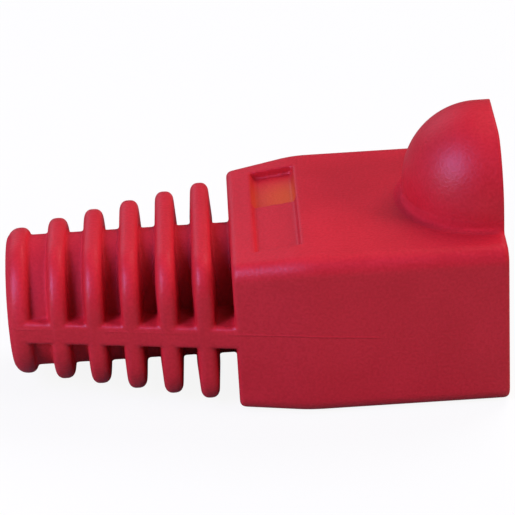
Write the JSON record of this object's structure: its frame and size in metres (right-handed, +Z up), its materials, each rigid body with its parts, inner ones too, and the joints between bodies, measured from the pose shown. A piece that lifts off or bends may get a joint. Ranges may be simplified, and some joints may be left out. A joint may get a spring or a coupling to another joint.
{
  "type": "cable strain relief boot",
  "caption": "Soft one-piece boot for a modular data plug: boxy plug cover with a domed latch hood and a finned tapering cable sleeve.",
  "frame": {"origin": "on the cable axis, in the plane where the finned tail meets the body", "axes": "+X along the cable axis towards the plug mouth, +Z up through the latch hood, +Y across the boot"},
  "size_m": [0.0284, 0.014, 0.0154],
  "materials": {
    "boot": "satin moulded soft PVC, red"
  },
  "bodies": {
    "root": {"boot": "boot"}
  },
  "joints": []
}
